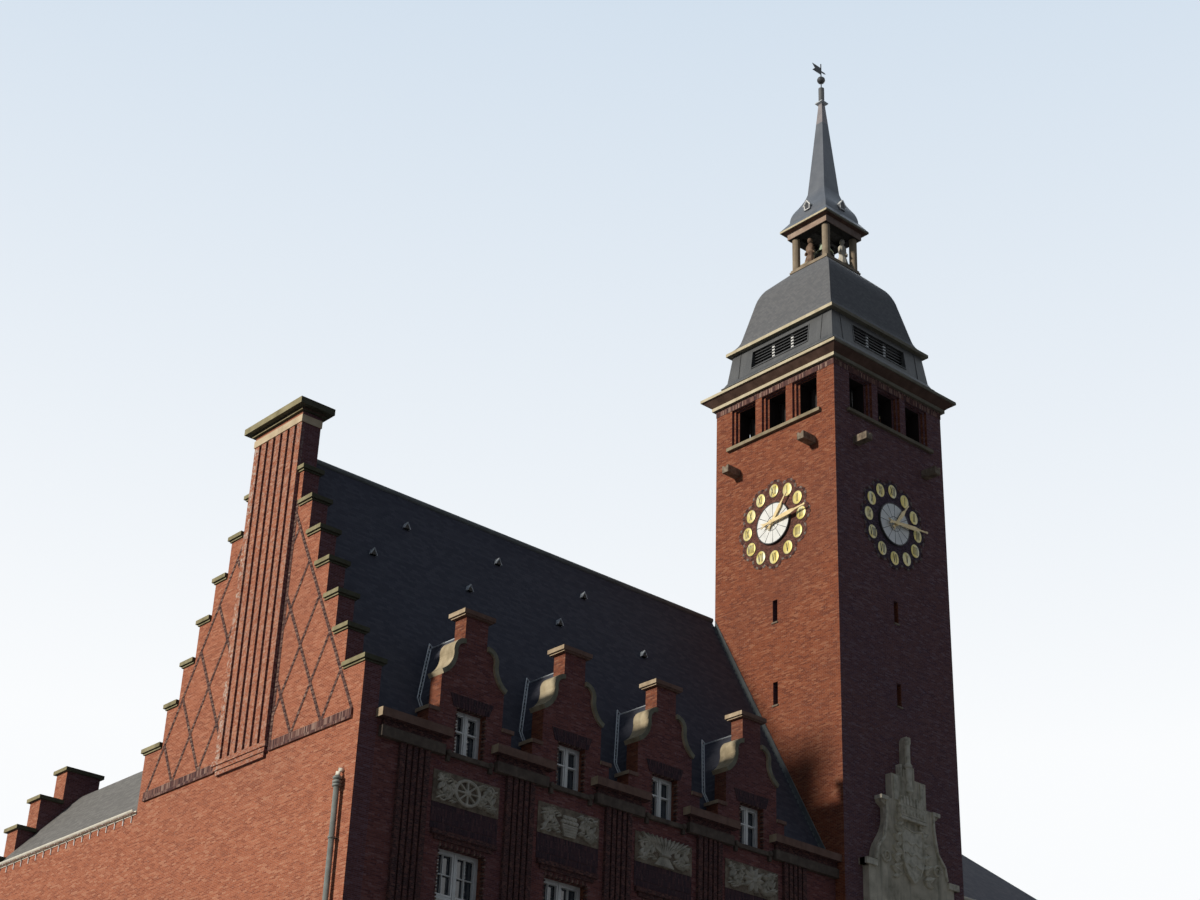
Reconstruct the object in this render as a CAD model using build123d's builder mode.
from build123d import *
from math import atan2, cos, degrees, pi, radians, sin, sqrt
import os

os.makedirs("parts", exist_ok=True)

# A brick town hall at half its real size, in millimetres.
# X runs east along the street front, Y runs back from the street and Z is up.
# The origin is on the ground, in the middle of the tower's plan.

# Tower
tower_width = 3200
tower_wall = 400
belfry_level = 20030
shaft_height = 21025
tower_floor_thickness = 160

# Belfry windows, three in each face, stepped in plan and at the head
belfry_windows = 3
belfry_window_width = 660
belfry_window_height = 850
belfry_window_pitch = 830
belfry_steps = 3
belfry_step = 55
belfry_head_step = 20
belfry_step_depth = 55
sill_length = 2510
sill_height = 70
sill_projection = 70

# Narrow slits, one above the other in each tower face
slit_width = 120
slit_height = 450
slit_levels = (14490, 16140)

# Stone spouts below the belfry
spout_length = 340
spout_width = 170
spout_height = 150
spout_spacing = 2020
spout_level = 19390
spout_channel = 60

# Tower cornice: a stone band, a raking soffit, a thin stone fascia and a lead slope
cornice_band_height = 70
cornice_band_projection = 70
cornice_projection = 240
cornice_fascia_height = 60
cornice_height = 260
cornice_fascia_lip = 25
lead_slope_height = 260

# Louvred stage above the cornice
stage_foot_half = 1530
stage_foot_lip = 50
stage_skirt_half = 1450
stage_skirt_height = 150
stage_top_half = 1370
stage_top_level = 22330
stage_wall = 120
louvre_width = 1570
louvre_height = 410
louvre_level = 21800
louvre_bays = 3
slat_count = 6
slat_thickness = 18
slat_depth = 90
louvre_post_width = 60
louvre_post_depth = 30

# Bell-shaped roof
bell_tip_half = 1475
bell_tip_level = 22400
bell_flare_half = 1240
bell_flare_level = 22730
bell_waist_half = 1060
bell_waist_level = 23520
bell_shoulder_half = 890
bell_shoulder_level = 23960
bell_shell = 110
curve_steps = 5

# Open lantern
platform_half = 510
platform_level = 24370
platform_thickness = 40
platform_lip = 20
column_diameter = 165
column_sides = 16
column_inset = 85
kerb_height = 45
kerb_width = 45
lantern_beam_level = 25235
lantern_beam_height = 150
lantern_beam_width = 200
lantern_beam_half = 555
lantern_soffit_lip = 20
lantern_tip_half = 670
lantern_tip_level = 25450
lantern_fascia_height = 45

# Spire over the lantern
spire_flare_half = 520
spire_flare_level = 25670
spire_bulge_half = 440
spire_bulge_level = 25960
spire_neck_half = 240
spire_neck_level = 26420
spire_tip_half = 50
spire_tip_level = 28840
spire_shell = 70
lucarne_width = 175
lucarne_height = 235
lucarne_level = 25780
lucarne_depth = 130
lucarne_stand_off = 10

# Finial and weather vane
collar_half = 105
collar_height = 50
sleeve_diameter = 130
sleeve_height = 400
ball_diameter = 180
ball_level = 29530
ball_facets = 16
rod_diameter = 24
rod_top_level = 29985
vane_length = 430
vane_height = 180
vane_thickness = 12
vane_level = 29780
running_gap = 0.3

# Bell and the robed figures in the lantern
bell_mouth_radius = 190
bell_waist_radius = 110
bell_height = 270
bell_metal = 20
bell_mouth_level = 24900
bell_sides = 16
yoke_width = 70
figure_height = 780
figure_foot_radius = 130
figure_head_radius = 55
figure_sides = 12
figure_from_middle = (190, 120, 0, -120)

# Clocks
clock_level = 17960
dial_radius = 422
dial_thickness = 50
hand_boss_radius = 48
hand_boss_height = 20
medallion_count = 12
medallion_ring_radius = 707
medallion_width = 245
medallion_height = 285
medallion_thickness = 40
medallion_sides = 12
hour_hand_length = 640
minute_hand_length = 910
hour_tail_length = 170
minute_tail_length = 260
hand_width = 60
hand_thickness = 16
hub_radius = 50
hub_thickness = 30
shown_hours = 1
shown_minutes = 14

# Carved stone crest and the stone-framed portal bay on the tower front
portal_half = 1140
portal_projection = 110
crest_projection = 140
crest_foot_level = 10350
crest_kneeler_half = 1240
kneeler_depth = 110
crest_kneeler_level = 11160
crest_body_half = 980
crest_shoulder_half = 760
crest_shoulder_level = 12380
crest_back_half = 467
crest_back_level = 12860
crest_pinnacle_half = 70
crest_top_level = 13660
door_width = 1300
door_height = 2050
door_thickness = 60
stair_window_width = 900

# Hall
hall_length = 10040
hall_depth = 6150
front_setback = 224
wall_thickness = 400
eaves_level = 11150
roof_foot_inset = 210
ridge_level = 16430
roof_thickness = 160

# Storeys of the hall and its wings
storeys = 4
ground_floor_level = 80
storey_height = 2350
attic_floor_level = 10000
floor_thickness = 180
window_width = 860
window_height = 1500
window_sill_height = 590
top_window_level = 7690
top_window_height = 1750
window_reveal = 160
frame_width = 50
frame_depth = 60
transom_drop = 700
glass_thickness = 12

# Street front
bay = 2000
bays = 4
last_bay_to_tower = 2050
strip_width = 540
strip_ribs = 5
strip_projection = 60
strip_groove_depth = 35
strip_foot_level = 600
cornice_block_length = 1154
first_cornice_extension = 140
eaves_fascia_height = 130
eaves_fascia_projection = 165
eaves_neck_height = 110
eaves_neck_projection = 50
eaves_band_height = 160
eaves_band_projection = 95
panel_width = 1240
panel_height = 770
panel_top_level = 10530
panel_projection = 30
panel_border = 60
panel_relief = 40
head_width = 1210
head_height = 70
head_lift = 60
head_projection = 60
sill_overhang = 60

# Dormer gables on the street front
dormer_half = 600
dormer_thickness = 270
scroll_foot_level = 12010
scroll_top_level = 12600
scroll_shoulder_width = 140
scroll_shoulder_drop = 190
dormer_stem_half = 215
dormer_stem_level = 13060
dormer_cap_half = 305
dormer_cap_height = 95
dormer_cap_fillet = 25
dormer_cap_inset = 30
coping_thickness = 75
coping_overhang = 45
shoulder_width = 190
shoulder_level = 11410
shoulder_cap_height = 60
shoulder_cap_overhang = 30
dormer_window_width = 560
dormer_window_height = 730
dormer_window_level = 10840
dormer_roof_half = 580
dormer_roof_foot_level = 11750
dormer_roof_ridge_level = 12900
dormer_roof_thickness = 80

# Stepped end gable
gable_thickness = 300
gable_steps = 7
step_rise = 650
step_run = 345
lowest_step_run = 530
lowest_step_level = 11915
step_cap_height = 70
step_cap_overhang = 55
top_block_half = 695
top_block_level = 16640
crown_band_height = 130
crown_band_projection = 85
crown_neck_height = 62
crown_fillet_height = 16
crown_recess_height = 40
crown_fascia_height = 112
crown_projection = 150
pilaster_foot_level = 11130
pilaster_projection = 70
pilaster_ribs = 7
pilaster_groove = 72
pilaster_groove_depth = 60
corbel_tiers = 3
corbel_tier_height = 75
corbel_tier_step = 20
course_half = 2890
course_height = 150
course_projection = 35

# Lead and small things on the slates
ridge_roll_radius = 55
vent_width = 150
vent_height = 110
vent_length = 190
vent_rows = ((3, 340, 15670), (4, -640, 14690))
flashing_width = 170
flashing_thickness = 16
flashing_steps = 14
pipe_diameter = 130
pipe_sides = 16
pipe_top_level = 10270
pipe_from_corner = 290
pipe_stand_off = 60
cowl_diameter = 230
cowl_height = 190

# Rear wing, flush with the end gable
rear_wing_width = 2940
rear_wing_length = 5430
rear_wing_eaves_level = 10880
rear_wing_ridge_level = 12560
rear_gable_steps = 3
rear_lowest_step_level = 11110
rear_cap_half = 400

# East wing, beyond the tower
east_wing_length = 4940
east_wing_pitch = 0.88
skylight_width = 420
skylight_length = 620
skylight_height = 70

# White gutters of the wings
gutter_width = 110
gutter_height = 120
gutter_wall = 12

# Places worked out from the sizes above
tower_half = tower_width / 2
tower_room = tower_width - 2 * tower_wall
front_y = -tower_half + front_setback
back_y = front_y + hall_depth
mid_y = front_y + hall_depth / 2
west_x = -tower_half - hall_length
east_x = tower_half + east_wing_length
rear_y = back_y + rear_wing_length
roof_half = hall_depth / 2 - roof_foot_inset
roof_slope = (ridge_level - eaves_level) / roof_half
roof_drop = roof_thickness * sqrt(1 + roof_slope**2)
bay_centres = [-tower_half - last_bay_to_tower - bay * i for i in reversed(range(bays))]
pier_centres = [bay_centres[0] - bay / 2 + bay * i for i in range(bays + 1)]
floor_levels = [ground_floor_level + storey_height * i for i in range(storeys)]
window_rows = [(level + window_sill_height, window_height) for level in floor_levels[:-1]]
window_rows.append((top_window_level, top_window_height))
face_turns = (0, 90, 180, 270)

# Planes on the outer faces: local x runs to the right as seen from outside, local y is up
front_plane = Plane(origin=(0, front_y, 0), x_dir=(1, 0, 0), z_dir=(0, -1, 0))
back_plane = Plane(origin=(0, back_y, 0), x_dir=(-1, 0, 0), z_dir=(0, 1, 0))
west_plane = Plane(origin=(west_x, mid_y, 0), x_dir=(0, -1, 0), z_dir=(-1, 0, 0))


def save(piece, name):
    """Label a finished piece and write it to a file of its own."""
    piece.part.label = name
    export_step(piece.part, f"parts/{name}.step")


def face_plane(turn, distance, level=0):
    """Plane on a tower face: turn 0 is the street front, 90 east, 180 back, 270 west."""
    spin = radians(turn)
    outward = (sin(spin), -cos(spin), 0)
    along = (cos(spin), sin(spin), 0)
    start = (outward[0] * distance, outward[1] * distance, level)
    return Plane(origin=start, x_dir=along, z_dir=outward)


def square(half, level):
    """Square sketch about the tower's axis at a level."""
    with BuildSketch(Plane.XY.offset(level)) as outline:
        Rectangle(2 * half, 2 * half)
    return outline.sketch


def lean(low_half, high_half, rise):
    """Taper that takes a square from one half width to another over a rise."""
    return degrees(atan2(low_half - high_half, rise))


def bow(start, pull, end):
    """Points from start to end along a curve drawn towards pull."""
    shares = [i / curve_steps for i in range(curve_steps + 1)]
    return [
        tuple((1 - t) ** 2 * a + 2 * t * (1 - t) * b + t**2 * c for a, b, c in zip(start, pull, end))
        for t in shares
    ]


def mirrored_face(plane, points):
    """Face whose right-hand edge runs through the points, closed by its mirror image."""
    with BuildSketch(plane) as face:
        with BuildLine():
            Polyline(points)
            mirror(about=Plane.YZ)
        make_face()
    return face.sketch


# Tower walls
with BuildPart() as tower_walls:
    with BuildSketch():
        Rectangle(tower_width, tower_width)
        Rectangle(tower_room, tower_room, mode=Mode.SUBTRACT)
    extrude(amount=belfry_level)
    for turn in face_turns:
        with BuildSketch(face_plane(turn, tower_half)):
            with Locations(*[(0, level) for level in slit_levels]):
                Rectangle(slit_width, slit_height)
        extrude(amount=-tower_wall, mode=Mode.SUBTRACT)
    with BuildSketch(face_plane(0, tower_half)):
        with Locations((0, ground_floor_level + door_height / 2)):
            Rectangle(door_width, door_height)
        for level, height in window_rows[1:]:
            with Locations((0, level + height / 2)):
                Rectangle(stair_window_width, height)
    extrude(amount=-tower_wall, mode=Mode.SUBTRACT)
save(tower_walls, "tower_walls")

# Belfry stage with stepped windows in each face
belfry_places = [(i - (belfry_windows - 1) / 2) * belfry_window_pitch for i in range(belfry_windows)]
with BuildPart() as belfry_stage:
    with BuildSketch(Plane.XY.offset(belfry_level)):
        Rectangle(tower_width, tower_width)
        Rectangle(tower_room, tower_room, mode=Mode.SUBTRACT)
    extrude(amount=shaft_height - belfry_level)
    for turn in face_turns:
        for step in range(belfry_steps):
            width = belfry_window_width - 2 * step * belfry_step
            height = belfry_window_height - step * belfry_head_step
            depth = tower_wall if step == belfry_steps - 1 else belfry_step_depth * (step + 1)
            with BuildSketch(face_plane(turn, tower_half, belfry_level)):
                with Locations(*[(place, height / 2) for place in belfry_places]):
                    Rectangle(width, height)
            extrude(amount=-depth, mode=Mode.SUBTRACT)
save(belfry_stage, "belfry_stage")

# Floors inside the tower
tower_floor_levels = floor_levels[1:]
tower_floor_levels += [attic_floor_level, slit_levels[0] - slit_height, belfry_level - sill_height]
with BuildPart() as tower_floors:
    extrude(square(tower_room / 2, 0), amount=ground_floor_level)
    for level in tower_floor_levels:
        with BuildSketch(Plane.XY.offset(level)):
            Rectangle(tower_room, tower_room)
        extrude(amount=-tower_floor_thickness)
save(tower_floors, "tower_floors")

# One long stone sill under the belfry windows of each face
with BuildPart() as belfry_sills:
    for turn in face_turns:
        with BuildSketch(face_plane(turn, tower_half, belfry_level)):
            with Locations((0, -sill_height / 2)):
                Rectangle(sill_length, sill_height)
        extrude(amount=sill_projection)
save(belfry_sills, "belfry_sills")

# Stone spouts, two in each face, with a channel along the top
with BuildPart() as rain_spouts:
    for turn in face_turns:
        with BuildSketch(face_plane(turn, tower_half, spout_level)):
            with GridLocations(spout_spacing, 1, 2, 1):
                Rectangle(spout_width, spout_height)
            with Locations((-spout_spacing / 2, spout_height / 2), (spout_spacing / 2, spout_height / 2)):
                Rectangle(spout_channel, spout_channel, rotation=45, mode=Mode.SUBTRACT)
        extrude(amount=spout_length)
save(rain_spouts, "rain_spouts")

# Tower cornice
band_half = tower_half + cornice_band_projection
fascia_half = tower_half + cornice_projection
fascia_level = shaft_height + cornice_height - cornice_fascia_height
cornice_top = shaft_height + cornice_height
stage_foot_level = cornice_top + lead_slope_height
soffit_level = shaft_height + cornice_band_height
soffit_rise = fascia_level - soffit_level
with BuildPart() as tower_cornice:
    extrude(square(band_half, shaft_height), amount=cornice_band_height)
    extrude(square(band_half, soffit_level), amount=soffit_rise,
            taper=lean(band_half, fascia_half - cornice_fascia_lip, soffit_rise))
    extrude(square(fascia_half, fascia_level), amount=cornice_fascia_height)
    extrude(square(fascia_half, cornice_top), amount=lead_slope_height,
            taper=lean(fascia_half, stage_foot_half - stage_foot_lip, lead_slope_height))
    extrude(square(tower_room / 2, shaft_height), amount=stage_foot_level - shaft_height, mode=Mode.SUBTRACT)
save(tower_cornice, "tower_cornice")

# Louvred stage
skirt_level = stage_foot_level + stage_skirt_height
stage_rise = stage_top_level - skirt_level
with BuildPart() as louvre_stage:
    extrude(square(stage_foot_half, stage_foot_level), amount=stage_skirt_height,
            taper=lean(stage_foot_half, stage_skirt_half, stage_skirt_height))
    extrude(square(stage_skirt_half, skirt_level), amount=stage_rise,
            taper=lean(stage_skirt_half, stage_top_half, stage_rise))
    extrude(square(stage_top_half - stage_wall, stage_foot_level), amount=stage_top_level - stage_foot_level,
            mode=Mode.SUBTRACT)
    for turn in face_turns:
        with BuildSketch(face_plane(turn, stage_foot_half, louvre_level + louvre_height / 2)):
            Rectangle(louvre_width, louvre_height)
        extrude(amount=-(stage_foot_half - stage_top_half + 2 * stage_wall), mode=Mode.SUBTRACT)
save(louvre_stage, "louvre_stage")

# Louvre slats across each opening, with posts behind them
slat_pitch = louvre_height / slat_count
louvre_bay = louvre_width / louvre_bays
with BuildPart() as louvre_slats:
    for turn in face_turns:
        louvre_plane = face_plane(turn, stage_top_half - stage_wall / 4, louvre_level + louvre_height / 2)
        with BuildSketch(louvre_plane):
            with GridLocations(1, slat_pitch, 1, slat_count):
                Rectangle(louvre_width, slat_thickness)
        extrude(amount=-slat_depth)
        with BuildSketch(louvre_plane.offset(-slat_depth)):
            with GridLocations(louvre_bay, 1, louvre_bays - 1, 1):
                Rectangle(louvre_post_width, louvre_height)
        extrude(amount=-louvre_post_depth)
save(louvre_slats, "louvre_slats")


# Bell-shaped roof, square in plan, hollow under its slates
flare_pull = (bell_flare_half + 40, bell_tip_level + 130)
waist_pull = (bell_waist_half - 50, bell_waist_level + 270)
bell_edge = [(0, stage_top_level), (bell_tip_half, stage_top_level)]
bell_edge += bow((bell_tip_half, bell_tip_level), flare_pull, (bell_flare_half, bell_flare_level))
bell_edge += bow((bell_waist_half, bell_waist_level), waist_pull, (bell_shoulder_half, bell_shoulder_level))
bell_edge += [(platform_half, platform_level), (0, platform_level)]
bell_hollow = (
    (stage_top_half - stage_wall, stage_top_level),
    (bell_flare_half - bell_shell, bell_tip_level),
    (bell_waist_half - bell_shell, bell_waist_level),
    (platform_half - bell_shell, platform_level - 2 * bell_shell),
)
with BuildPart() as bell_roof:
    extrude(mirrored_face(Plane.XZ, bell_edge), amount=bell_tip_half, both=True)
    extrude(mirrored_face(Plane.YZ, bell_edge), amount=bell_tip_half, both=True, mode=Mode.INTERSECT)
    for (low_half, low_level), (high_half, high_level) in zip(bell_hollow, bell_hollow[1:]):
        rise = high_level - low_level
        extrude(square(low_half, low_level), amount=rise, taper=lean(low_half, high_half, rise), mode=Mode.SUBTRACT)
save(bell_roof, "bell_roof")

# Four round columns on a thin stone platform, with a low kerb between them
column_place = platform_half - column_inset
floor_of_lantern = platform_level + platform_thickness
column_height = lantern_beam_level - floor_of_lantern
with BuildPart() as lantern_columns:
    extrude(square(platform_half + platform_lip, platform_level), amount=platform_thickness)
    extrude(square(platform_half, floor_of_lantern), amount=kerb_height)
    extrude(square(platform_half - kerb_width, floor_of_lantern), amount=kerb_height, mode=Mode.SUBTRACT)
    with BuildSketch(Plane.XY.offset(floor_of_lantern)):
        with GridLocations(2 * column_place, 2 * column_place, 2, 2):
            RegularPolygon(column_diameter / 2, column_sides, major_radius=False)
    extrude(amount=column_height)
save(lantern_columns, "lantern_columns")

# Beams and cornice of the lantern
beam_top = lantern_beam_level + lantern_beam_height
lantern_fascia_level = lantern_tip_level - lantern_fascia_height
lantern_soffit_rise = lantern_fascia_level - beam_top
with BuildPart() as lantern_cornice:
    extrude(square(lantern_beam_half, lantern_beam_level), amount=beam_top - lantern_beam_level)
    extrude(square(lantern_beam_half - lantern_beam_width, lantern_beam_level),
            amount=beam_top - lantern_beam_level, mode=Mode.SUBTRACT)
    extrude(square(lantern_beam_half, beam_top), amount=lantern_soffit_rise,
            taper=lean(lantern_beam_half, lantern_tip_half - lantern_soffit_lip, lantern_soffit_rise))
    extrude(square(lantern_tip_half, lantern_fascia_level), amount=lantern_fascia_height)
save(lantern_cornice, "lantern_cornice")

# Bell and the yoke that rests between the beams
bell_crown_level = bell_mouth_level + bell_height
bell_outside = (
    (bell_mouth_level, bell_mouth_radius),
    (bell_mouth_level + bell_height * 0.3, bell_waist_radius * 1.2),
    (bell_crown_level - bell_height * 0.15, bell_waist_radius),
    (bell_crown_level, bell_waist_radius * 0.75),
)
bell_inside = (
    (bell_mouth_level, bell_mouth_radius - 2 * bell_metal),
    (bell_crown_level - bell_height * 0.3, bell_waist_radius - bell_metal),
)
with BuildPart() as lantern_bell:
    for surface, mode in ((bell_outside, Mode.ADD), (bell_inside, Mode.SUBTRACT)):
        for (low_level, low_radius), (high_level, high_radius) in zip(surface, surface[1:]):
            with BuildSketch(Plane.XY.offset(low_level)):
                RegularPolygon(low_radius, bell_sides, major_radius=False)
            rise = high_level - low_level
            extrude(amount=rise, taper=lean(low_radius, high_radius, rise), mode=mode)
    with BuildSketch(Plane.XY.offset(bell_crown_level)):
        Rectangle(yoke_width, yoke_width)
    extrude(amount=lantern_beam_level - bell_crown_level + yoke_width)
    with BuildSketch(Plane.XY.offset(lantern_beam_level)):
        Rectangle(2 * (lantern_beam_half - lantern_beam_width), yoke_width)
    extrude(amount=yoke_width)
save(lantern_bell, "lantern_bell")

# Robed stone figures, one in each open side of the lantern
figure_foot_reach = figure_foot_radius / cos(pi / figure_sides)
figure_place = platform_half - kerb_width - running_gap - figure_foot_reach
head_foot = figure_height - 2.4 * figure_head_radius
figure_outline = (
    (0, figure_foot_radius),
    (figure_height * 0.55, figure_foot_radius * 0.52),
    (head_foot - 50, figure_foot_radius * 0.7),
    (head_foot, figure_head_radius * 0.5),
    (head_foot + figure_head_radius, figure_head_radius),
    (figure_height - figure_head_radius / 2, figure_head_radius * 0.9),
    (figure_height, figure_head_radius * 0.4),
)
with BuildPart() as lantern_figures:
    for turn, from_middle in zip(face_turns, figure_from_middle):
        side_plane = face_plane(turn, figure_place)
        stand = side_plane.origin + side_plane.x_dir * from_middle
        for (low_level, low_radius), (high_level, high_radius) in zip(figure_outline, figure_outline[1:]):
            with BuildSketch(Plane.XY.offset(floor_of_lantern + low_level)):
                with Locations((stand.X, stand.Y)):
                    RegularPolygon(low_radius, figure_sides, major_radius=False)
            rise = high_level - low_level
            extrude(amount=rise, taper=lean(low_radius, high_radius, rise))
save(lantern_figures, "lantern_figures")


# Spire, square in plan: a flared foot, a swelling and a long taper, hollow in its lower part
spire_edge = [(0, lantern_tip_level), (lantern_tip_half, lantern_tip_level)]
spire_edge += bow(
    (spire_flare_half, spire_flare_level),
    (spire_flare_half - 10, spire_flare_level + 170),
    (spire_bulge_half, spire_bulge_level),
)
spire_edge += bow(
    (spire_bulge_half, spire_bulge_level),
    (spire_neck_half + 40, spire_neck_level - 200),
    (spire_neck_half, spire_neck_level),
)[1:]
spire_edge += [(spire_tip_half, spire_tip_level), (0, spire_tip_level)]
spire_room_rise = spire_neck_level - lantern_tip_level - spire_shell
with BuildPart() as spire:
    extrude(mirrored_face(Plane.XZ, spire_edge), amount=lantern_tip_half, both=True)
    extrude(mirrored_face(Plane.YZ, spire_edge), amount=lantern_tip_half, both=True, mode=Mode.INTERSECT)
    extrude(square(spire_flare_half - spire_shell, lantern_tip_level), amount=spire_room_rise,
            taper=lean(spire_flare_half, spire_neck_half, spire_room_rise), mode=Mode.SUBTRACT)
save(spire, "spire")

# Four small gabled lucarnes on the foot of the spire
with BuildPart() as spire_lucarnes:
    for turn in face_turns:
        lucarne_face = face_plane(turn, spire_flare_half + lucarne_stand_off, lucarne_level)
        lucarne_edge = [
            (0, 0),
            (lucarne_width / 2, 0),
            (lucarne_width / 2, lucarne_height * 0.55),
            (0, lucarne_height),
        ]
        extrude(mirrored_face(lucarne_face, lucarne_edge), amount=-lucarne_depth)
    add(spire.part, mode=Mode.SUBTRACT)
save(spire_lucarnes, "spire_lucarnes")

# Lead collar, sleeve, rod and ball at the top of the spire
collar_level = spire_tip_level
sleeve_level = collar_level + collar_height
rod_level = sleeve_level + sleeve_height
vane_foot_level = ball_level + ball_diameter / 2 + rod_diameter
ball_turns = [pi * (i + 0.5) / (ball_facets / 2) for i in range(ball_facets // 2)]
ball_outline = [(ball_level - ball_diameter / 2 * cos(turn), ball_diameter / 2 * sin(turn)) for turn in ball_turns]
with BuildPart() as spire_finial:
    extrude(square(spire_tip_half, collar_level), amount=collar_height / 2,
            taper=lean(spire_tip_half, collar_half, collar_height / 2))
    extrude(square(collar_half, collar_level + collar_height / 2), amount=collar_height / 2)
    with BuildSketch(Plane.XY.offset(sleeve_level)):
        Circle(sleeve_diameter / 2)
    extrude(amount=sleeve_height)
    with BuildSketch(Plane.XY.offset(rod_level)):
        Circle(rod_diameter / 2)
    extrude(amount=vane_foot_level - rod_level)
    for (low_level, low_radius), (high_level, high_radius) in zip(ball_outline, ball_outline[1:]):
        with BuildSketch(Plane.XY.offset(low_level)):
            RegularPolygon(low_radius, ball_facets, major_radius=False)
        rise = high_level - low_level
        extrude(amount=rise, taper=lean(low_radius, high_radius, rise))
save(spire_finial, "spire_finial")

# Weather vane: a swallow-tailed pennant on a spindle that turns on the rod
with BuildPart() as weather_vane:
    with BuildSketch(Plane.XY.offset(vane_foot_level + running_gap)):
        Circle(rod_diameter / 2)
    extrude(amount=rod_top_level - vane_foot_level - running_gap)
    with BuildSketch(Plane.XZ):
        with BuildLine():
            Polyline(
                (0, vane_level + vane_height / 2),
                (-vane_length * 0.65, vane_level + vane_height / 2),
                (-vane_length * 0.45, vane_level),
                (-vane_length * 0.65, vane_level - vane_height / 2),
                (0, vane_level - vane_height / 2),
                (0, vane_level - vane_height / 10),
                (vane_length * 0.25, vane_level - vane_height / 10),
                (vane_length * 0.35, vane_level),
                (vane_length * 0.25, vane_level + vane_height / 10),
                (0, vane_level + vane_height / 10),
                close=True,
            )
        make_face()
    extrude(amount=vane_thickness / 2, both=True)
save(weather_vane, "weather_vane")

# Clock dials, one in each tower face, with a boss for the hands
dial_face = tower_half + dial_thickness
with BuildPart() as clock_dials:
    for turn in face_turns:
        with BuildSketch(face_plane(turn, tower_half, clock_level)):
            Circle(dial_radius)
        extrude(amount=dial_thickness)
        with BuildSketch(face_plane(turn, dial_face, clock_level)):
            Circle(hand_boss_radius)
        extrude(amount=hand_boss_height)
save(clock_dials, "clock_dials")

# Twelve oval medallions round each dial
oval_turns = [2 * pi * (i + 0.5) / medallion_sides for i in range(medallion_sides)]
oval = [(medallion_width / 2 * cos(turn), medallion_height / 2 * sin(turn)) for turn in oval_turns]
with BuildPart() as clock_medallions:
    for turn in face_turns:
        with BuildSketch(face_plane(turn, tower_half, clock_level)):
            for hour in range(medallion_count):
                angle = 2 * pi * hour / medallion_count
                place = (medallion_ring_radius * sin(angle), medallion_ring_radius * cos(angle))
                with Locations(place):
                    Polygon(*oval, align=None)
        extrude(amount=medallion_thickness)
save(clock_medallions, "clock_medallions")

# Clock hands: the hour hand turns on the boss, the minute hand in front of it
hour_hub_distance = dial_face + hand_boss_height + running_gap
minute_hub_distance = hour_hub_distance + hub_thickness + running_gap
minute_angle = -360 * shown_minutes / 60
hour_angle = -360 * (shown_hours + shown_minutes / 60) / 12


def hand_outline(plane, length, tail, angle):
    """Flat hand pointing up from the hub, widest before its tip, turned by an angle."""
    spindle = Axis(plane.origin, plane.z_dir)
    turned = Plane(origin=plane.origin, x_dir=plane.x_dir.rotate(spindle, angle), z_dir=plane.z_dir)
    with BuildSketch(turned) as outline:
        with BuildLine():
            Polyline(
                (0, length),
                (hand_width / 2, length * 0.78),
                (hand_width / 4, length * 0.7),
                (hand_width / 3, 0),
                (hand_width / 2, -tail),
                (-hand_width / 2, -tail),
                (-hand_width / 3, 0),
                (-hand_width / 4, length * 0.7),
                (-hand_width / 2, length * 0.78),
                close=True,
            )
        make_face()
    return outline.sketch


def build_hand(turn, hub_distance, length, tail, angle):
    """Sketches of one hand: the blade in the middle of its hub's thickness, and the hub."""
    blade_distance = hub_distance + (hub_thickness - hand_thickness) / 2
    blade = hand_outline(face_plane(turn, blade_distance, clock_level), length, tail, angle)
    with BuildSketch(face_plane(turn, hub_distance, clock_level)) as hub:
        Circle(hub_radius)
    return blade, hub.sketch


shown_faces = {"south": 0, "west": 270}
for side, turn in shown_faces.items():
    blade, hub = build_hand(turn, hour_hub_distance, hour_hand_length, hour_tail_length, hour_angle)
    with BuildPart() as hour_hand:
        extrude(blade, amount=hand_thickness)
        extrude(hub, amount=hub_thickness)
    save(hour_hand, f"hour_hand_{side}")
    blade, hub = build_hand(turn, minute_hub_distance, minute_hand_length, minute_tail_length, minute_angle)
    with BuildPart() as minute_hand:
        extrude(blade, amount=hand_thickness)
        extrude(hub, amount=hub_thickness)
    save(minute_hand, f"minute_hand_{side}")

# Hands of the two dials on the far sides
with BuildPart() as far_clock_hands:
    for turn in (90, 180):
        hands = (
            build_hand(turn, hour_hub_distance - running_gap, hour_hand_length, hour_tail_length, hour_angle),
            build_hand(turn, minute_hub_distance - 2 * running_gap, minute_hand_length, minute_tail_length,
                       minute_angle),
        )
        for blade, hub in hands:
            extrude(blade, amount=hand_thickness)
            extrude(hub, amount=hub_thickness)
save(far_clock_hands, "far_clock_hands")

# Carved stone crest over the portal bay: kneelers, scrolled sides, stepped back and pinnacle
crest_plane = face_plane(0, tower_half)
with BuildPart() as stone_crest:
    with BuildSketch(crest_plane):
        with BuildLine():
            Polyline(
                (0, crest_foot_level),
                (portal_half, crest_foot_level),
                (portal_half, crest_kneeler_level - kneeler_depth),
                (crest_kneeler_half, crest_kneeler_level - kneeler_depth),
                (crest_kneeler_half, crest_kneeler_level),
                (crest_body_half, crest_kneeler_level),
            )
            Bezier(
                (crest_body_half, crest_kneeler_level),
                (crest_body_half, crest_kneeler_level + 450),
                (crest_shoulder_half - 200, crest_kneeler_level + 500),
                (crest_shoulder_half - 120, crest_shoulder_level - 180),
            )
            Polyline(
                (crest_shoulder_half - 120, crest_shoulder_level - 180),
                (crest_shoulder_half, crest_shoulder_level - 110),
                (crest_shoulder_half, crest_shoulder_level),
                (crest_back_half, crest_shoulder_level),
                (crest_back_half, crest_back_level),
                (2 * crest_pinnacle_half, crest_back_level),
                (2 * crest_pinnacle_half, crest_back_level + 150),
                (crest_pinnacle_half, crest_back_level + 150),
                (crest_pinnacle_half * 0.8, crest_top_level - 80),
                (0, crest_top_level),
            )
            mirror(about=Plane.YZ)
        make_face()
    extrude(amount=crest_projection)
save(stone_crest, "stone_crest")

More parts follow.
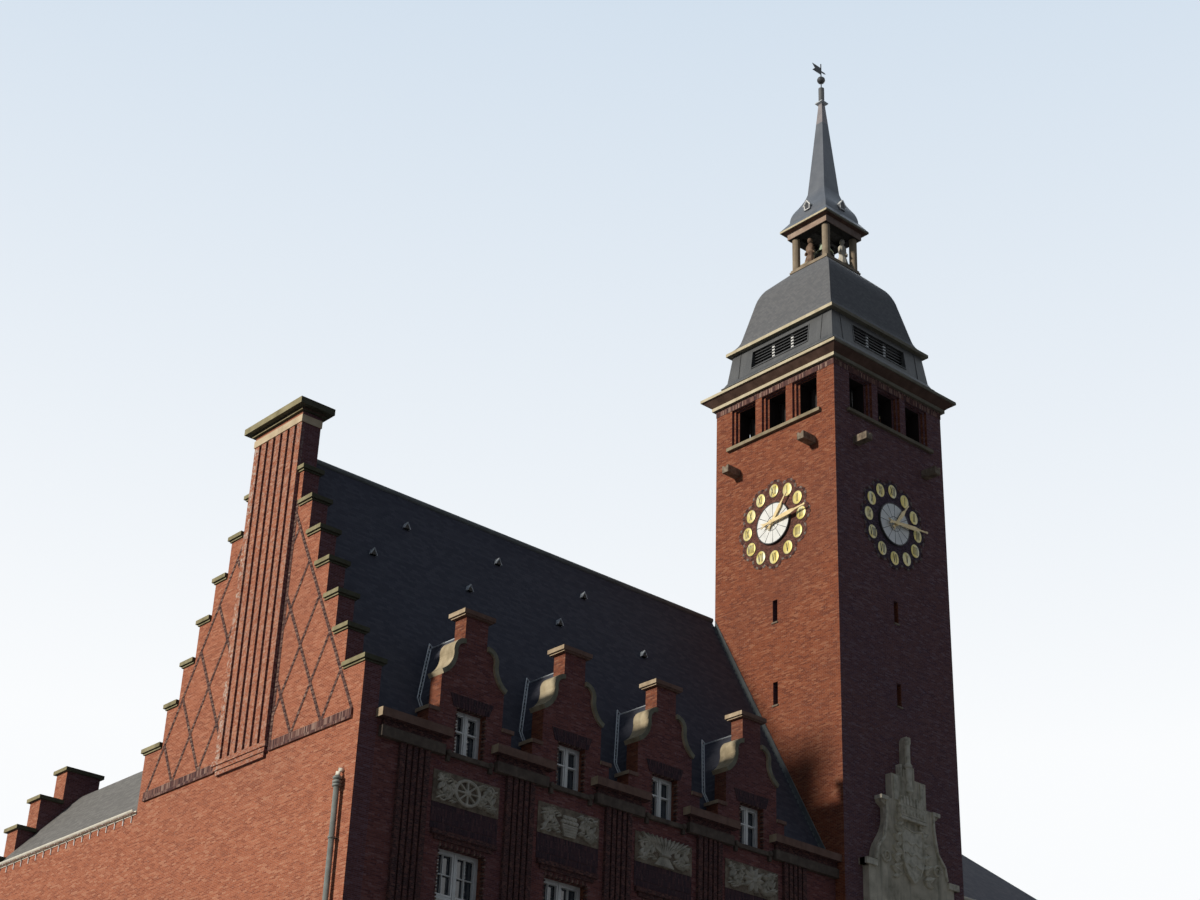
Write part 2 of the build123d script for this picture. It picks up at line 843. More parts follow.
# Stone facing of the portal bay, open at the door and the stair windows
with BuildPart() as portal_frame:
    with BuildSketch(crest_plane):
        with Locations((0, crest_foot_level / 2)):
            Rectangle(2 * portal_half, crest_foot_level)
        with Locations((0, ground_floor_level + door_height / 2)):
            Rectangle(door_width, door_height, mode=Mode.SUBTRACT)
        for level, height in window_rows[1:]:
            with Locations((0, level + height / 2)):
                Rectangle(stair_window_width, height, mode=Mode.SUBTRACT)
    extrude(amount=portal_projection)
save(portal_frame, "portal_frame")

# Double door, closed, set half way into the wall
with BuildPart() as entrance_doors:
    with BuildSketch(face_plane(0, tower_half - window_reveal)):
        with Locations((0, ground_floor_level + door_height / 2)):
            Rectangle(door_width, door_height)
    extrude(amount=-door_thickness)
    with BuildSketch(face_plane(0, tower_half - window_reveal)):
        with Locations((-door_width / 4, ground_floor_level + door_height / 2),
                       (door_width / 4, ground_floor_level + door_height / 2)):
            Rectangle(door_width / 2 - 2 * panel_border, door_height - 2 * panel_border)
    extrude(amount=-door_thickness / 4, mode=Mode.SUBTRACT)
save(entrance_doors, "entrance_doors")

# Front wall of the hall, with rows of windows and the foot of each dormer window
front_west_x = west_x + gable_thickness
with BuildPart() as front_wall:
    with BuildSketch(front_plane):
        with Locations(((front_west_x - tower_half) / 2, eaves_level / 2)):
            Rectangle(-tower_half - front_west_x, eaves_level)
        for level, height in window_rows:
            with Locations(*[(centre, level + height / 2) for centre in bay_centres]):
                Rectangle(window_width, height, mode=Mode.SUBTRACT)
        with Locations(*[(centre, (dormer_window_level + eaves_level) / 2) for centre in bay_centres]):
            Rectangle(dormer_window_width, eaves_level - dormer_window_level, mode=Mode.SUBTRACT)
    extrude(amount=-wall_thickness)
save(front_wall, "front_wall")


# Windows: a frame with a mullion, on the street side also a transom, and a pane behind it
def window_lights(width, height, has_transom):
    """Lights of a window as (place, size) pairs about its middle."""
    light_width = (width - 3 * frame_width) / 2
    across = (light_width + frame_width) / 2
    upper = transom_drop - 1.5 * frame_width
    lower = height - upper - 3 * frame_width
    rows = [(0, height - 2 * frame_width)]
    if has_transom:
        rows = [(height / 2 - frame_width - upper / 2, upper), (-height / 2 + frame_width + lower / 2, lower)]
    return [((side * across, place), (light_width, tall)) for side in (-1, 1) for place, tall in rows]


def frame_sketch(plane, windows, has_transom):
    """Frames of many windows, each given as x, foot level, width and height."""
    with BuildSketch(plane) as frames:
        for x, level, width, height in windows:
            with Locations((x, level + height / 2)):
                Rectangle(width, height)
            for (across, up), size in window_lights(width, height, has_transom):
                with Locations((x + across, level + height / 2 + up)):
                    Rectangle(*size, mode=Mode.SUBTRACT)
    return frames.sketch


def pane_sketch(plane, windows):
    """Panes of many windows, as large as their openings."""
    with BuildSketch(plane) as panes:
        for x, level, width, height in windows:
            with Locations((x, level + height / 2)):
                Rectangle(width, height)
    return panes.sketch


front_windows = [(x, level, window_width, height) for x in bay_centres for level, height in window_rows]
dormer_lights = [(x, dormer_window_level, dormer_window_width, dormer_window_height) for x in bay_centres]
stair_windows = [(0, level, stair_window_width, height) for level, height in window_rows[1:]]

# Window heads in two steps over the front windows, and their sills
with BuildPart() as window_heads:
    for x in bay_centres:
        for level, height in window_rows:
            top = level + height
            with BuildSketch(front_plane):
                with Locations((x, top + head_lift + 1.5 * head_height)):
                    Rectangle(head_width, head_height)
            extrude(amount=head_projection)
            with BuildSketch(front_plane):
                with Locations((x, top + head_lift + head_height / 2)):
                    Rectangle(head_width - 2 * head_height, head_height)
            extrude(amount=head_projection / 2)
save(window_heads, "window_heads")

sill_places = [(x, level) for x in bay_centres for level, height in window_rows]
with BuildPart() as window_sills:
    with BuildSketch(front_plane):
        with Locations(*[(x, level - sill_height / 2) for x, level in sill_places]):
            Rectangle(window_width + 2 * sill_overhang, sill_height)
        with Locations(*[(x, dormer_window_level - sill_height / 2) for x in bay_centres]):
            Rectangle(dormer_window_width + 4 * sill_overhang, sill_height)
    extrude(amount=sill_overhang)
save(window_sills, "window_sills")

# Reeded brick strips on the piers between the bays
strip_top = eaves_level - eaves_fascia_height - eaves_neck_height - eaves_band_height
strip_places = [(x, (strip_foot_level + strip_top) / 2) for x in pier_centres]
strip_pitch = strip_width / strip_ribs
with BuildPart() as reeded_strips:
    with BuildSketch(front_plane):
        with Locations(*strip_places):
            Rectangle(strip_width, strip_top - strip_foot_level)
    extrude(amount=strip_projection)
    with BuildSketch(front_plane.offset(strip_projection)):
        with Locations(*strip_places):
            with GridLocations(strip_pitch, 1, strip_ribs - 1, 1):
                Rectangle(strip_pitch / 3, strip_top - strip_foot_level)
    extrude(amount=-strip_groove_depth, mode=Mode.SUBTRACT)
save(reeded_strips, "reeded_strips")

# Eaves cornices over the piers, in three tiers; the last one runs to the tower
cornice_ends = [(x - cornice_block_length / 2, x + cornice_block_length / 2) for x in pier_centres]
cornice_ends[0] = (cornice_ends[0][0] - first_cornice_extension, cornice_ends[0][1])
cornice_ends[-1] = (cornice_ends[-1][0], -tower_half)
eaves_tiers = (
    (eaves_level - eaves_fascia_height, eaves_fascia_height, eaves_fascia_projection),
    (eaves_level - eaves_fascia_height - eaves_neck_height, eaves_neck_height, eaves_neck_projection),
    (strip_top, eaves_band_height, eaves_band_projection),
)
with BuildPart() as eaves_cornices:
    for level, height, projection in eaves_tiers:
        inset = eaves_fascia_projection - projection
        for left, right in cornice_ends:
            end = right if right == -tower_half else right - inset
            start = left + inset
            with BuildSketch(front_plane):
                with Locations(((start + end) / 2, level + height / 2)):
                    Rectangle(end - start, height)
            extrude(amount=projection)
save(eaves_cornices, "eaves_cornices")

# Carved panels under the dormers: a raised border round a field of plain relief
panel_places = [(x, panel_top_level - panel_height / 2) for x in bay_centres]
with BuildPart() as relief_panels:
    with BuildSketch(front_plane):
        with Locations(*panel_places):
            Rectangle(panel_width, panel_height)
    extrude(amount=panel_projection)
    with BuildSketch(front_plane.offset(panel_projection)):
        with Locations(*panel_places):
            Rectangle(panel_width, panel_height)
            Rectangle(panel_width - 2 * panel_border, panel_height - 2 * panel_border, mode=Mode.SUBTRACT)
    extrude(amount=panel_relief)
save(relief_panels, "relief_panels")


def scroll_edge(side):
    """Swept edge of a dormer gable from its stem down to the foot of the scroll."""
    stem = (side * dormer_stem_half, scroll_top_level)
    bend = (side * (dormer_stem_half + scroll_shoulder_width), scroll_top_level - scroll_shoulder_drop)
    foot = (side * dormer_half, scroll_foot_level)
    TangentArc(stem, bend, tangent=(side, 0))
    TangentArc(bend, foot, tangent=(0, -1))


def dormer_face(plane):
    """Brick face of one dormer gable, centred on the plane's origin."""
    with BuildSketch(plane) as face:
        with BuildLine():
            Line((0, dormer_stem_level), (dormer_stem_half, dormer_stem_level))
            Line((dormer_stem_half, dormer_stem_level), (dormer_stem_half, scroll_top_level))
            scroll_edge(1)
            Polyline(
                (dormer_half, scroll_foot_level),
                (dormer_half, shoulder_level),
                (dormer_half + shoulder_width, shoulder_level),
                (dormer_half + shoulder_width, eaves_level),
                (0, eaves_level),
            )
            mirror(about=Plane.YZ)
        make_face()
    return face.sketch


def dormer_plane(x, depth=0):
    """Plane of the street front, centred on a dormer and moved into the wall by depth."""
    return Plane(origin=(x, front_y + depth, 0), x_dir=(1, 0, 0), z_dir=(0, -1, 0))


# Dormer gables of brick, standing on the front wall
with BuildPart() as dormer_gables:
    for x in bay_centres:
        extrude(dormer_face(dormer_plane(x)), amount=-dormer_thickness)
        with BuildSketch(dormer_plane(x)):
            with Locations((0, dormer_window_level + dormer_window_height / 2)):
                Rectangle(dormer_window_width, dormer_window_height)
        extrude(amount=-dormer_thickness, mode=Mode.SUBTRACT)
save(dormer_gables, "dormer_gables")


def coping_face(plane):
    """Stone coping along both scrolled edges, outside the brick."""
    with BuildSketch(plane) as face:
        for side in (-1, 1):
            with BuildLine() as edge:
                scroll_edge(side)
            trace(edge.line, line_width=2 * coping_thickness)
        add(dormer_face(Plane.XY), mode=Mode.SUBTRACT)
        with Locations((0, scroll_top_level)):
            Rectangle(2 * dormer_stem_half, 4 * coping_thickness, mode=Mode.SUBTRACT)
    return face.sketch


# Scrolled stone copings
with BuildPart() as dormer_copings:
    for x in bay_centres:
        extrude(coping_face(dormer_plane(x, -coping_overhang)), amount=-(dormer_thickness + 2 * coping_overhang))
save(dormer_copings, "dormer_copings")

# Stone caps on the dormer stems and on the shoulder piers
shoulder_cap_place = dormer_half + shoulder_width / 2
with BuildPart() as dormer_caps:
    for x in bay_centres:
        with BuildSketch(Plane((x, front_y + dormer_thickness / 2, dormer_stem_level))):
            Rectangle(2 * (dormer_cap_half - dormer_cap_inset), dormer_thickness + 2 * coping_overhang)
        extrude(amount=dormer_cap_fillet)
        with BuildSketch(Plane((x, front_y + dormer_thickness / 2, dormer_stem_level + dormer_cap_fillet))):
            Rectangle(2 * dormer_cap_half, dormer_thickness + 3 * coping_overhang)
        extrude(amount=dormer_cap_height - dormer_cap_fillet)
        with BuildSketch(Plane((x, front_y + dormer_thickness / 2, shoulder_level))):
            with Locations((-shoulder_cap_place - shoulder_cap_overhang / 2, 0),
                           (shoulder_cap_place + shoulder_cap_overhang / 2, 0)):
                Rectangle(shoulder_width + shoulder_cap_overhang, dormer_thickness + 2 * shoulder_cap_overhang)
        extrude(amount=shoulder_cap_height)
save(dormer_caps, "dormer_caps")

# Main roof of the hall: a steep saddle, cut where the dormers open into it
roof_foot_drop = roof_drop / roof_slope
dormer_inner_half = dormer_roof_half - dormer_roof_thickness
dormer_inner_ridge = dormer_roof_ridge_level - 2 * dormer_roof_thickness


def dormer_hollow(x):
    """Upright section of the space under a dormer roof."""
    return mirrored_face(
        dormer_plane(x),
        [
            (0, eaves_level),
            (dormer_inner_half, eaves_level),
            (dormer_inner_half, dormer_roof_foot_level),
            (0, dormer_inner_ridge),
        ],
    )


def roof_section(drop):
    """Triangle under the main slates, lowered by a drop."""
    half = roof_half - drop / roof_slope
    section = Plane(origin=(front_west_x, mid_y, 0), x_dir=(0, 1, 0), z_dir=(1, 0, 0))
    return mirrored_face(section, [(0, eaves_level), (half, eaves_level), (0, ridge_level - drop)])


roof_length = -tower_half - front_west_x
with BuildPart() as main_roof:
    extrude(roof_section(0), amount=roof_length)
    extrude(roof_section(roof_drop), amount=roof_length, mode=Mode.SUBTRACT)
    for x in bay_centres:
        extrude(dormer_hollow(x), amount=-hall_depth / 2, mode=Mode.SUBTRACT)
    add(dormer_gables.part, mode=Mode.SUBTRACT)
save(main_roof, "main_roof")

# Dormer roofs: steep little saddles with brick cheeks, cut to sit on the main slates
with BuildPart() as dormer_roofs:
    for x in bay_centres:
        back_of_gable = dormer_plane(x, dormer_thickness)
        outer = [
            (0, eaves_level),
            (dormer_roof_half, eaves_level),
            (dormer_roof_half, dormer_roof_foot_level),
            (0, dormer_roof_ridge_level),
        ]
        extrude(mirrored_face(back_of_gable, outer), amount=-hall_depth / 2)
        extrude(dormer_hollow(x), amount=-hall_depth, mode=Mode.SUBTRACT)
    extrude(roof_section(0), amount=roof_length, mode=Mode.SUBTRACT)
save(dormer_roofs, "dormer_roofs")

# Ridge roll of lead along the main roof
with BuildPart() as ridge_roll:
    with BuildSketch(Plane(origin=(front_west_x, mid_y, ridge_level), x_dir=(0, 1, 0), z_dir=(1, 0, 0))):
        Circle(ridge_roll_radius)
    extrude(amount=roof_length)
    extrude(roof_section(0), amount=roof_length, mode=Mode.SUBTRACT)
save(ridge_roll, "ridge_roll")

# Small roof vents in two rows on each slope, staggered along the bays
with BuildPart() as roof_vents:
    for count, shift, level in vent_rows:
        depth = roof_half - (level - eaves_level) / roof_slope
        for i in range(count):
            x = bay_centres[0] + shift + bay * i
            for side in (-1, 1):
                with BuildSketch(Plane(origin=(x, mid_y + side * depth, level), x_dir=(1, 0, 0),
                                       z_dir=(0, side, 0))):
                    with BuildLine():
                        Polyline(
                            (-vent_width / 2, -vent_height),
                            (vent_width / 2, -vent_height),
                            (0, vent_height / 2),
                            close=True,
                        )
                    make_face()
                extrude(amount=vent_length / 2, both=True)
    extrude(roof_section(0), amount=roof_length, mode=Mode.SUBTRACT)
save(roof_vents, "roof_vents")

# Lead flashing on the tower, stepping up along the roof
step_depth = (tower_half - (mid_y - roof_half)) / flashing_steps
with BuildPart() as roof_flashing:
    for i in range(flashing_steps):
        near = mid_y - roof_half + i * step_depth
        level = eaves_level + (near + step_depth - (mid_y - roof_half)) * roof_slope
        low = level - step_depth * roof_slope
        with BuildSketch(face_plane(270, tower_half)):
            with BuildLine():
                Polyline(
                    (-near, low),
                    (-near - step_depth, level),
                    (-near - step_depth, level + flashing_width * 0.6),
                    (-near, level + flashing_width * 0.6),
                    close=True,
                )
            make_face()
        extrude(amount=flashing_thickness)
save(roof_flashing, "roof_flashing")

# Stepped end gable: half widths of the steps from the lowest up
step_halves = [hall_depth / 2, hall_depth / 2 - lowest_step_run]
step_halves += [step_halves[1] - step_run * i for i in range(1, gable_steps - 1)]
step_levels = [lowest_step_level + step_rise * i for i in range(gable_steps)]
step_halves.append(top_block_half)
gable_edge = [(0, 0), (hall_depth / 2, 0)]
for i in range(gable_steps):
    gable_edge.append((step_halves[i], step_levels[i] - step_cap_height))
    gable_edge.append((step_halves[i + 1], step_levels[i] - step_cap_height))
gable_edge += [(top_block_half, top_block_level), (0, top_block_level)]
with BuildPart() as gable_wall:
    extrude(mirrored_face(west_plane, gable_edge), amount=-gable_thickness)
save(gable_wall, "gable_wall")

# Ribbed pilaster in the middle of the gable, on a corbelled foot
pilaster_height = top_block_level - pilaster_foot_level
rib_pitch = (2 * top_block_half + pilaster_groove) / pilaster_ribs
with BuildPart() as gable_pilaster:
    with BuildSketch(west_plane):
        with Locations((0, pilaster_foot_level + pilaster_height / 2)):
            Rectangle(2 * top_block_half, pilaster_height)
    extrude(amount=pilaster_projection)
    with BuildSketch(west_plane.offset(pilaster_projection)):
        with Locations((0, pilaster_foot_level + pilaster_height / 2)):
            with GridLocations(rib_pitch, 1, pilaster_ribs - 1, 1):
                Rectangle(pilaster_groove, pilaster_height)
    extrude(amount=-pilaster_groove_depth, mode=Mode.SUBTRACT)
    for tier in range(corbel_tiers):
        with BuildSketch(west_plane):
            with Locations((0, pilaster_foot_level - corbel_tier_height * (tier + 0.5))):
                Rectangle(2 * (top_block_half + corbel_tier_step * (corbel_tiers - 2 * tier)), corbel_tier_height)
        extrude(amount=pilaster_projection + corbel_tier_step * (1 - tier))
save(gable_pilaster, "gable_pilaster")

# Soldier course at the foot of the gable field, on both sides of the pilaster's corbel
course_inner = top_block_half + corbel_tier_step * corbel_tiers
with BuildPart() as gable_course:
    with BuildSketch(west_plane):
        for side in (-1, 1):
            with Locations((side * (course_half + course_inner) / 2, pilaster_foot_level - course_height / 2)):
                Rectangle(course_half - course_inner, course_height)
    extrude(amount=course_projection)
save(gable_course, "gable_course")

# Crown of the gable: a pale band, a brick neck, a thin fillet, a recess and a broad fascia
gable_mid_x = west_x + (gable_thickness - pilaster_projection) / 2
crown_length = gable_thickness + pilaster_projection
crown_tiers = (
    (crown_band_height, crown_band_projection - pilaster_projection),
    (crown_neck_height, 0),
    (crown_fillet_height, crown_projection * 0.35),
    (crown_recess_height, crown_projection * 0.25),
    (crown_fascia_height, crown_projection),
)
with BuildPart() as gable_crown:
    tier_level = top_block_level
    for height, projection in crown_tiers:
        with BuildSketch(Plane((gable_mid_x, mid_y, tier_level))):
            Rectangle(crown_length + 2 * projection, 2 * (top_block_half + projection))
        extrude(amount=height)
        tier_level += height
save(gable_crown, "gable_crown")

# Flue pipe with a cowl, held to the gable by brackets
pipe_y = front_y + pipe_from_corner
pipe_x = west_x - pipe_stand_off - pipe_diameter / 2
bracket_levels = [pipe_top_level * share for share in (0.2, 0.4, 0.6, 0.8, 0.95)]
pipe_outline = (
    (0, pipe_diameter / 2),
    (pipe_top_level - cowl_height, pipe_diameter / 2),
    (pipe_top_level - cowl_height * 0.6, cowl_diameter / 2),
    (pipe_top_level, cowl_diameter / 8),
)
with BuildPart() as flue_pipe:
    for (low_level, low_radius), (high_level, high_radius) in zip(pipe_outline, pipe_outline[1:]):
        with BuildSketch(Plane((pipe_x, pipe_y, low_level))):
            RegularPolygon(low_radius, pipe_sides, major_radius=False)
        rise = high_level - low_level
        extrude(amount=rise, taper=lean(low_radius, high_radius, rise))
    for level in bracket_levels:
        with Locations(((west_x + pipe_x) / 2, pipe_y, level)):
            Box(west_x - pipe_x, pipe_diameter / 3, pipe_diameter / 3)
save(flue_pipe, "flue_pipe")

# Back wall of the hall, with the same rows of windows
open_bays = [x for x in bay_centres if x > west_x + rear_wing_width]
back_windows = [(-x, level, window_width, height) for x in open_bays for level, height in window_rows]
with BuildPart() as back_wall:
    with BuildSketch(back_plane):
        with Locations((-(front_west_x - tower_half) / 2, eaves_level / 2)):
            Rectangle(-tower_half - front_west_x, eaves_level)
        for x, level, width, height in back_windows:
            with Locations((x, level + height / 2)):
                Rectangle(width, height, mode=Mode.SUBTRACT)
    extrude(amount=-wall_thickness)
save(back_wall, "back_wall")

# Cross wall that closes the hall's roof behind the tower
cross_plane = Plane(origin=(-tower_half, mid_y, 0), x_dir=(0, 1, 0), z_dir=(1, 0, 0))
with BuildPart() as cross_wall:
    with BuildSketch(cross_plane):
        with BuildLine():
            inner_half = roof_half - roof_foot_drop
            tower_back = tower_half - mid_y
            Polyline(
                (tower_back, 0),
                (hall_depth / 2 - wall_thickness, 0),
                (hall_depth / 2 - wall_thickness, eaves_level),
                (inner_half, eaves_level),
                (0, ridge_level - roof_drop),
                (tower_back, ridge_level - roof_drop + tower_back * roof_slope),
                close=True,
            )
        make_face()
    extrude(amount=-wall_thickness)
save(cross_wall, "cross_wall")

# Rear wing: walls and a stepped end gable of its own
rear_mid_x = west_x + rear_wing_width / 2
rear_half = rear_wing_width / 2
rear_mid_y = (back_y + rear_y) / 2
rear_halves = [rear_half - step_run * i for i in range(rear_gable_steps)]
rear_levels = [rear_lowest_step_level + step_rise * i for i in range(rear_gable_steps)]
rear_halves.append(rear_cap_half - step_cap_overhang)
rear_top_level = rear_levels[-1] + step_rise
rear_plane = Plane(origin=(rear_mid_x, rear_y, 0), x_dir=(-1, 0, 0), z_dir=(0, 1, 0))
rear_edge = [(0, 0), (rear_half, 0)]
for i in range(rear_gable_steps):
    rear_edge.append((rear_halves[i], rear_levels[i] - step_cap_height))
    rear_edge.append((rear_halves[i + 1], rear_levels[i] - step_cap_height))
rear_edge += [(rear_halves[-1], rear_top_level - step_cap_height), (0, rear_top_level - step_cap_height)]
rear_east_plane = Plane(origin=(west_x + rear_wing_width, rear_mid_y, 0), x_dir=(0, 1, 0), z_dir=(1, 0, 0))
rear_windows = [
    (side * bay / 2, level, window_width, height) for side in (-1, 1) for level, height in window_rows[:-1]
]
with BuildPart() as rear_wing_walls:
    with BuildSketch(Plane((rear_mid_x, rear_mid_y, 0))):
        Rectangle(rear_wing_width, rear_wing_length)
        Rectangle(rear_wing_width - 2 * wall_thickness, rear_wing_length, mode=Mode.SUBTRACT)
    extrude(amount=rear_wing_eaves_level)
    extrude(mirrored_face(rear_plane, rear_edge), amount=-wall_thickness)
    extrude(pane_sketch(rear_east_plane, rear_windows), amount=-wall_thickness, mode=Mode.SUBTRACT)
save(rear_wing_walls, "rear_wing_walls")

# Slate roof of the rear wing, between the hall's back wall and the end gable
rear_slope = (rear_wing_ridge_level - rear_wing_eaves_level) / rear_half
rear_drop = roof_thickness * sqrt(1 + rear_slope**2)
rear_roof_plane = Plane(origin=(rear_mid_x, back_y, 0), x_dir=(1, 0, 0), z_dir=(0, -1, 0))


def rear_roof_section(drop):
    """Triangle under the rear wing's slates, lowered by a drop."""
    return mirrored_face(
        rear_roof_plane,
        [
            (0, rear_wing_eaves_level),
            (rear_half - drop / rear_slope, rear_wing_eaves_level),
            (0, rear_wing_ridge_level - drop),
        ],
    )


rear_roof_length = rear_wing_length - wall_thickness
with BuildPart() as rear_roof_join:
    extrude(rear_roof_section(0), amount=hall_depth / 2)
    extrude(rear_roof_section(rear_drop), amount=hall_depth / 2, mode=Mode.SUBTRACT)
    extrude(roof_section(0), amount=roof_length, mode=Mode.SUBTRACT)
    add(gable_wall.part, mode=Mode.SUBTRACT)
    with BuildSketch():
        with Locations((rear_mid_x, mid_y)):
            Rectangle(2 * rear_wing_width, 2 * hall_depth)
    extrude(amount=eaves_level, mode=Mode.SUBTRACT)

with BuildPart() as rear_wing_roof:
    extrude(rear_roof_section(0), amount=-rear_roof_length)
    extrude(rear_roof_section(rear_drop), amount=-rear_roof_length, mode=Mode.SUBTRACT)
    add(rear_roof_join.part)
save(rear_wing_roof, "rear_wing_roof")

# Stone caps on the steps of both gables, with one more on top of the rear gable
cap_overhangs = 2 * step_cap_overhang


def step_caps(plane, halves, levels):
    """Caps on both sides of a stepped gable, as one sketch."""
    with BuildSketch(plane.offset(step_cap_overhang)) as caps:
        for i, level in enumerate(levels):
            outer = halves[i] + step_cap_overhang
            inner = halves[i + 1]
            for side in (-1, 1):
                with Locations((side * (outer + inner) / 2, level - step_cap_height / 2)):
                    Rectangle(outer - inner, step_cap_height)
    return caps.sketch


with BuildPart() as gable_step_caps:
    extrude(step_caps(west_plane, step_halves, step_levels), amount=-gable_thickness - cap_overhangs)
    extrude(step_caps(rear_plane, rear_halves, rear_levels), amount=-wall_thickness - cap_overhangs)
    with BuildSketch(rear_plane.offset(step_cap_overhang)):
        with Locations((0, rear_top_level - step_cap_height / 2)):
            Rectangle(2 * rear_cap_half, step_cap_height)
    extrude(amount=-wall_thickness - cap_overhangs)
    extrude(roof_section(0), amount=roof_length, mode=Mode.SUBTRACT)
    extrude(rear_roof_section(0), amount=-rear_roof_length, mode=Mode.SUBTRACT)
save(gable_step_caps, "gable_step_caps")

# East wing: front, side and back walls round the far side of the tower
wing_front_windows = [
    (tower_half + east_wing_length / 2 + side * bay / 2, level, window_width, height)
    for side in (-1, 1)
    for level, height in window_rows
]
wing_back_windows = [
    (-(east_x - bay / 2 - wall_thickness - bay * i), level, window_width, height)
    for i in range(bays)
    for level, height in window_rows
]
wing_side_windows = [
    (bay * i, level, window_width, height) for i in (-1, 0, 1) for level, height in window_rows
]
east_plane = Plane(origin=(east_x, mid_y, 0), x_dir=(0, 1, 0), z_dir=(1, 0, 0))
with BuildPart() as east_wing_walls:
    with BuildSketch():
        with BuildLine():
            Polyline(
                (tower_half, front_y),
                (east_x, front_y),
                (east_x, back_y),
                (-tower_half, back_y),
                (-tower_half, back_y - wall_thickness),
                (east_x - wall_thickness, back_y - wall_thickness),
                (east_x - wall_thickness, front_y + wall_thickness),
                (tower_half, front_y + wall_thickness),
                close=True,
            )
        make_face()
    extrude(amount=eaves_level)
    extrude(pane_sketch(front_plane, wing_front_windows), amount=-wall_thickness, mode=Mode.SUBTRACT)
    extrude(pane_sketch(back_plane, wing_back_windows), amount=-wall_thickness, mode=Mode.SUBTRACT)
    extrude(pane_sketch(east_plane, wing_side_windows), amount=-wall_thickness, mode=Mode.SUBTRACT)
save(east_wing_walls, "east_wing_walls")

# Hipped slate roof of the east wing, wrapped round the tower
wing_roof_length = east_x + tower_half
wing_drop = roof_thickness * sqrt(1 + east_wing_pitch**2)
wing_rise = east_wing_pitch * hall_depth / 2


def wing_roof_hip(drop):
    """Ridge line block of the hipped roof, lowered by a drop."""
    side_plane = Plane(origin=(-tower_half, mid_y, 0), x_dir=(0, 1, 0), z_dir=(1, 0, 0))
    half = hall_depth / 2 - drop / east_wing_pitch
    return mirrored_face(side_plane, [(0, eaves_level), (half, eaves_level), (0, eaves_level + wing_rise - drop)])


def wing_end_cut(drop):
    """Sketch of what the hipped end leaves, seen from the front."""
    end = east_x - drop / east_wing_pitch
    with BuildSketch(Plane(origin=(0, mid_y, 0), x_dir=(1, 0, 0), z_dir=(0, -1, 0))) as cut:
        with BuildLine():
            Polyline(
                (-tower_half, eaves_level),
                (end, eaves_level),
                (end - (wing_rise - drop) / east_wing_pitch, eaves_level + wing_rise - drop),
                (-tower_half, eaves_level + wing_rise - drop),
                close=True,
            )
        make_face()
    return cut.sketch


with BuildPart() as wing_hollow:
    extrude(wing_roof_hip(wing_drop), amount=wing_roof_length)
    extrude(wing_end_cut(wing_drop), amount=hall_depth, both=True, mode=Mode.INTERSECT)

with BuildPart() as east_wing_roof:
    extrude(wing_roof_hip(0), amount=wing_roof_length)
    extrude(wing_end_cut(0), amount=hall_depth, both=True, mode=Mode.INTERSECT)
    add(wing_hollow.part, mode=Mode.SUBTRACT)
    extrude(square(tower_half, eaves_level), amount=wing_rise, mode=Mode.SUBTRACT)
save(east_wing_roof, "east_wing_roof")

# Skylight on the street slope of the east wing
skylight_x = tower_half + east_wing_length * 0.28
skylight_y = front_y + hall_depth * 0.22
skylight_level = eaves_level + (skylight_y - front_y) * east_wing_pitch
tilt = Vector(0, -east_wing_pitch, 1)
skylight_plane = Plane(origin=(skylight_x, skylight_y, skylight_level), x_dir=(1, 0, 0), z_dir=tilt)
with BuildPart() as roof_skylight:
    with BuildSketch(skylight_plane):
        Rectangle(skylight_width, skylight_length)
    extrude(amount=skylight_height)
save(roof_skylight, "roof_skylight")

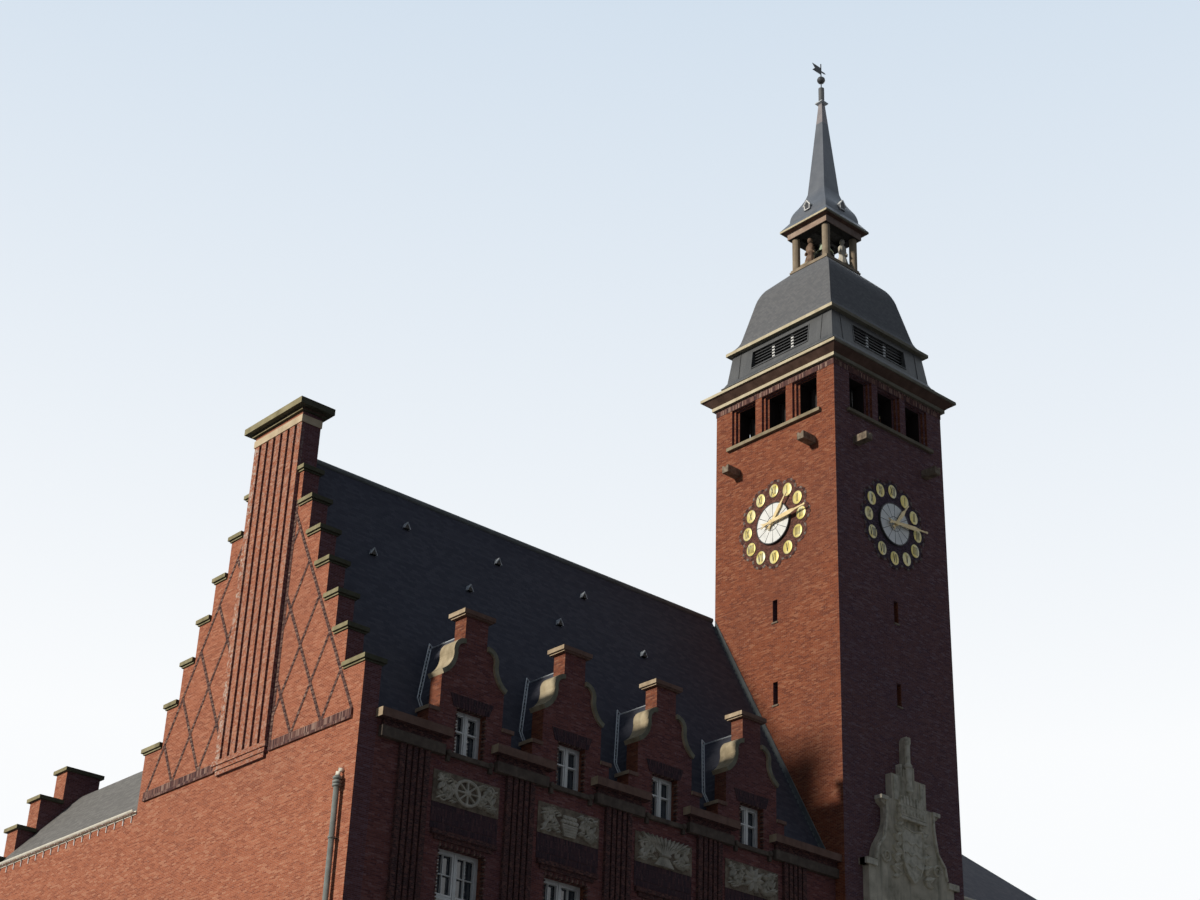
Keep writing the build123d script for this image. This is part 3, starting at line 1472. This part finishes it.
# Floors of the hall and of its two wings; the lowest ones rest on the ground
hall_room = (
    (front_west_x, front_y + wall_thickness),
    (-tower_half, front_y + wall_thickness),
    (-tower_half, tower_half),
    (-tower_half - wall_thickness, tower_half),
    (-tower_half - wall_thickness, back_y - wall_thickness),
    (front_west_x, back_y - wall_thickness),
)
wing_room = (
    (tower_half, front_y + wall_thickness),
    (east_x - wall_thickness, front_y + wall_thickness),
    (east_x - wall_thickness, back_y - wall_thickness),
    (-tower_half, back_y - wall_thickness),
    (-tower_half, tower_half),
    (tower_half, tower_half),
)
rear_room = (
    (west_x + wall_thickness, back_y),
    (west_x + rear_wing_width - wall_thickness, back_y),
    (west_x + rear_wing_width - wall_thickness, rear_y - wall_thickness),
    (west_x + wall_thickness, rear_y - wall_thickness),
)
with BuildPart() as storey_floors:
    for level in floor_levels + [attic_floor_level]:
        for room in (hall_room, wing_room, rear_room):
            if room is rear_room and level == attic_floor_level:
                continue
            with BuildSketch(Plane.XY.offset(level)):
                with BuildLine():
                    Polyline(*room, close=True)
                make_face()
            extrude(amount=-min(level, floor_thickness))
save(storey_floors, "storey_floors")

# Open gutters along the eaves of both wings
rear_gutter = Plane(origin=(west_x, back_y, rear_wing_eaves_level), x_dir=(-1, 0, 0), z_dir=(0, 1, 0))
wing_gutter = Plane(origin=(tower_half, front_y, eaves_level), x_dir=(0, -1, 0), z_dir=(1, 0, 0))
with BuildPart() as wing_gutters:
    for plane, length in ((rear_gutter, rear_wing_length), (wing_gutter, east_wing_length)):
        downward = 1 if plane.y_dir.Z < 0 else -1
        with BuildSketch(plane):
            with Locations((gutter_width / 2, downward * gutter_height / 2)):
                Rectangle(gutter_width, gutter_height)
            with Locations((gutter_width / 2, downward * (gutter_height - gutter_wall) / 2)):
                Rectangle(gutter_width - 2 * gutter_wall, gutter_height - gutter_wall, mode=Mode.SUBTRACT)
        extrude(amount=length)
save(wing_gutters, "wing_gutters")

# Frames of every window, with a pane behind each
glazed_walls = (
    (front_plane, window_reveal, front_windows + wing_front_windows, True),
    (front_plane, dormer_thickness / 2, dormer_lights, True),
    (face_plane(0, tower_half), window_reveal, stair_windows, True),
    (back_plane, window_reveal, back_windows + wing_back_windows, False),
    (east_plane, window_reveal, wing_side_windows, False),
    (rear_east_plane, window_reveal, rear_windows, False),
)
with BuildPart() as window_frames:
    for plane, reveal, windows, has_transom in glazed_walls:
        extrude(frame_sketch(plane.offset(-reveal), windows, has_transom), amount=-frame_depth)
save(window_frames, "window_frames")

with BuildPart() as window_glass:
    for plane, reveal, windows, has_transom in glazed_walls:
        extrude(pane_sketch(plane.offset(-reveal - frame_depth), windows), amount=-glass_thickness)
save(window_glass, "window_glass")
